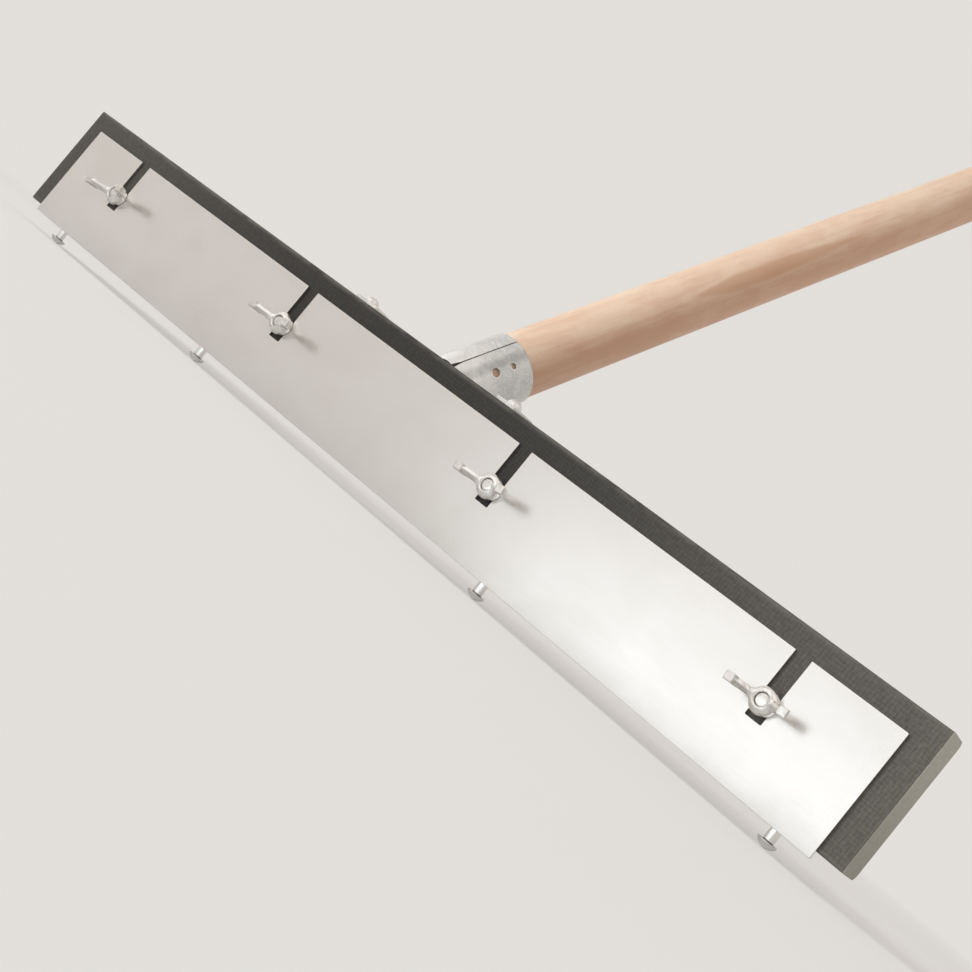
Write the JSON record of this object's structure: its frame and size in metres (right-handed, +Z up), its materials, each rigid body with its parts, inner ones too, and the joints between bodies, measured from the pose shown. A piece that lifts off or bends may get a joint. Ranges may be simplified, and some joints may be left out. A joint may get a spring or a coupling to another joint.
{
  "type": "self-levelling squeegee",
  "caption": "Long-handled floor squeegee: slotted steel blade clamped to a backing board by wing nuts, with spacer pins that set the layer thickness of a self-levelling compound.",
  "frame": {"origin": "middle of the blade's lower edge, half way through the sheet's thickness", "axes": "+X along the blade to the right as seen from the front, +Y back from the blade towards the board and handle, +Z up"},
  "size_m": [0.6, 0.9254, 1.0395],
  "materials": {
    "stainless_blade": "satin rolled stainless sheet with fine marks along its length",
    "grey_board": "dark grey board with a fine woven texture",
    "bright_steel": "bright zinc-plated steel",
    "zinc_nut": "zinc-plated casting, slightly uneven",
    "polished_pin": "polished shank with a satin head",
    "galvanised_steel": "hot-dip galvanised, mottled and wrinkled",
    "beech_handle": "sanded bare beech with lengthwise grain"
  },
  "bodies": {
    "backing": {"backing_board": "grey_board", "carriage_bolt_1": "bright_steel", "carriage_bolt_2": "bright_steel", "carriage_bolt_3": "bright_steel", "carriage_bolt_4": "bright_steel", "spacer_pin_1": "polished_pin", "spacer_pin_2": "polished_pin", "spacer_pin_3": "polished_pin", "spacer_pin_4": "polished_pin", "bracket_plate": "galvanised_steel", "handle_socket": "galvanised_steel", "socket_weld": "galvanised_steel", "ear_screw_left": "bright_steel", "ear_screw_right": "bright_steel", "back_screw_left": "bright_steel", "back_screw_right": "bright_steel", "handle": "beech_handle"},
    "blade": {"blade_plate": "stainless_blade"},
    "nut_1": {"wing_nut_1": "zinc_nut"},
    "nut_2": {"wing_nut_2": "zinc_nut"},
    "nut_3": {"wing_nut_3": "zinc_nut"},
    "nut_4": {"wing_nut_4": "zinc_nut"}
  },
  "joints": [
    {"name": "blade_height", "type": "slide", "parent": "backing", "child": "blade", "axis": [0, 0, 1], "range_m": [-0.0083, 0.0048]},
    {"name": "nut_1_turn", "type": "hinge", "parent": "backing", "child": "nut_1", "pos_m": [-0.2385, -0.0038, 0.0345], "axis": [0, -1, 0], "continuous": true},
    {"name": "nut_2_turn", "type": "hinge", "parent": "backing", "child": "nut_2", "pos_m": [-0.0795, -0.0038, 0.0345], "axis": [0, -1, 0], "continuous": true},
    {"name": "nut_3_turn", "type": "hinge", "parent": "backing", "child": "nut_3", "pos_m": [0.0795, -0.0038, 0.0345], "axis": [0, -1, 0], "continuous": true},
    {"name": "nut_4_turn", "type": "hinge", "parent": "backing", "child": "nut_4", "pos_m": [0.2385, -0.0038, 0.0345], "axis": [0, -1, 0], "continuous": true}
  ]
}
